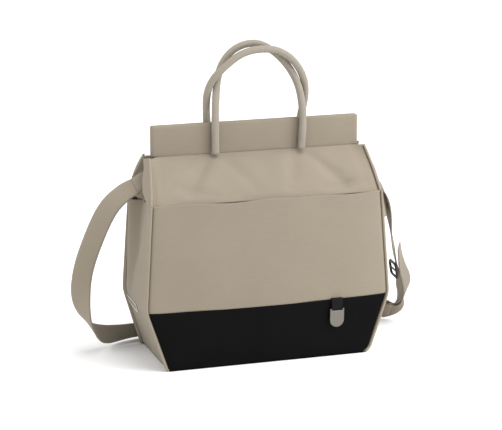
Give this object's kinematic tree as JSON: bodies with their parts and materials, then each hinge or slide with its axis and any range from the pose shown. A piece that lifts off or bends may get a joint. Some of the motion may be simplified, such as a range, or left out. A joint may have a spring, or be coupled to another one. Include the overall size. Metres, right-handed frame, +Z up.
{
  "type": "diaper bag",
  "caption": "Gusseted canvas diaper bag with coated base, slip pockets, rope handles, stiff magnetic top strips and an adjustable webbing shoulder strap.",
  "frame": {"origin": "centre of the bag's base on the floor, without the shoulder strap", "axes": "+Z up, -Y the front with the pull tab, +X to the right seen from the front"},
  "size_m": [0.6059, 0.2092, 0.5088],
  "materials": {
    "canvas": "taupe woven canvas, matt",
    "coated_base": "black coated cloth, fine grain, low sheen",
    "piping": "light taupe cord piping",
    "webbing": "taupe woven webbing",
    "lining": "plain light lining cloth",
    "board": "plain stiff board",
    "magnet": "plated magnet",
    "rope_core": "undyed rope",
    "slider": "dark bronze coated metal",
    "satin_metal": "satin light metal",
    "black_leather": "black leather, low sheen",
    "label": "woven label with a light border and no wording"
  },
  "bodies": {
    "body": {"back_left_piping": "piping", "back_panel": "canvas", "back_pocket": "canvas", "back_right_piping": "piping", "base_board": "board", "base_shell": "coated_base", "front_left_piping": "piping", "front_panel": "canvas", "front_pocket": "canvas", "front_right_piping": "piping", "inner_pocket": "lining", "left_gusset": "canvas", "left_gusset_fold": "canvas", "left_side_pocket": "canvas", "left_strap_tab": "webbing", "lining": "lining", "pull_tab_stub": "black_leather", "right_gusset": "canvas", "right_gusset_fold": "canvas", "right_side_pocket": "canvas", "right_strap_tab": "webbing", "shoulder_strap": "webbing", "side_label": "label", "strap_slider": "slider", "strap_tail": "webbing"},
    "front_top": {"front_left_handle_stub": "canvas", "front_left_magnet": "magnet", "front_right_handle_stub": "canvas", "front_right_magnet": "magnet", "front_slope": "canvas", "front_slope_left_piping": "piping", "front_slope_right_piping": "piping", "front_strip": "canvas", "front_strip_board": "board"},
    "back_top": {"back_left_handle_stub": "canvas", "back_left_magnet": "magnet", "back_right_handle_stub": "canvas", "back_right_magnet": "magnet", "back_slope": "canvas", "back_slope_left_piping": "piping", "back_slope_right_piping": "piping", "back_strip": "canvas", "back_strip_board": "board"},
    "front_handle": {"front_handle_core": "rope_core", "front_handle_cover": "canvas", "front_handle_left_tongue": "canvas", "front_handle_right_tongue": "canvas"},
    "back_handle": {"back_handle_core": "rope_core", "back_handle_cover": "canvas", "back_handle_left_tongue": "canvas", "back_handle_right_tongue": "canvas"},
    "pull_tab": {"pull_tab_cap": "satin_metal", "pull_tab_leather": "black_leather"}
  },
  "joints": [
    {"name": "front_top_open", "type": "hinge", "parent": "body", "child": "front_top", "pos_m": [0, -0.07621, 0.26927], "axis": [1, 0, 0], "range_deg": [0, 45]},
    {"name": "back_top_open", "type": "hinge", "parent": "body", "child": "back_top", "pos_m": [0, 0.07626, 0.26923], "axis": [-1, 0, 0], "range_deg": [0, 45]},
    {"name": "front_handle_swing", "type": "hinge", "parent": "front_top", "child": "front_handle", "pos_m": [0, -0.01947, 0.3295], "axis": [1, 0, 0], "range_deg": [0, 105]},
    {"name": "back_handle_swing", "type": "hinge", "parent": "back_top", "child": "back_handle", "pos_m": [0, 0.00947, 0.3295], "axis": [-1, 0, 0], "range_deg": [0, 105]},
    {"name": "pull_tab_lift", "type": "hinge", "parent": "body", "child": "pull_tab", "pos_m": [0.1129, -0.0827, 0.098], "axis": [-1, 0, 0], "range_deg": [0, 100]}
  ]
}
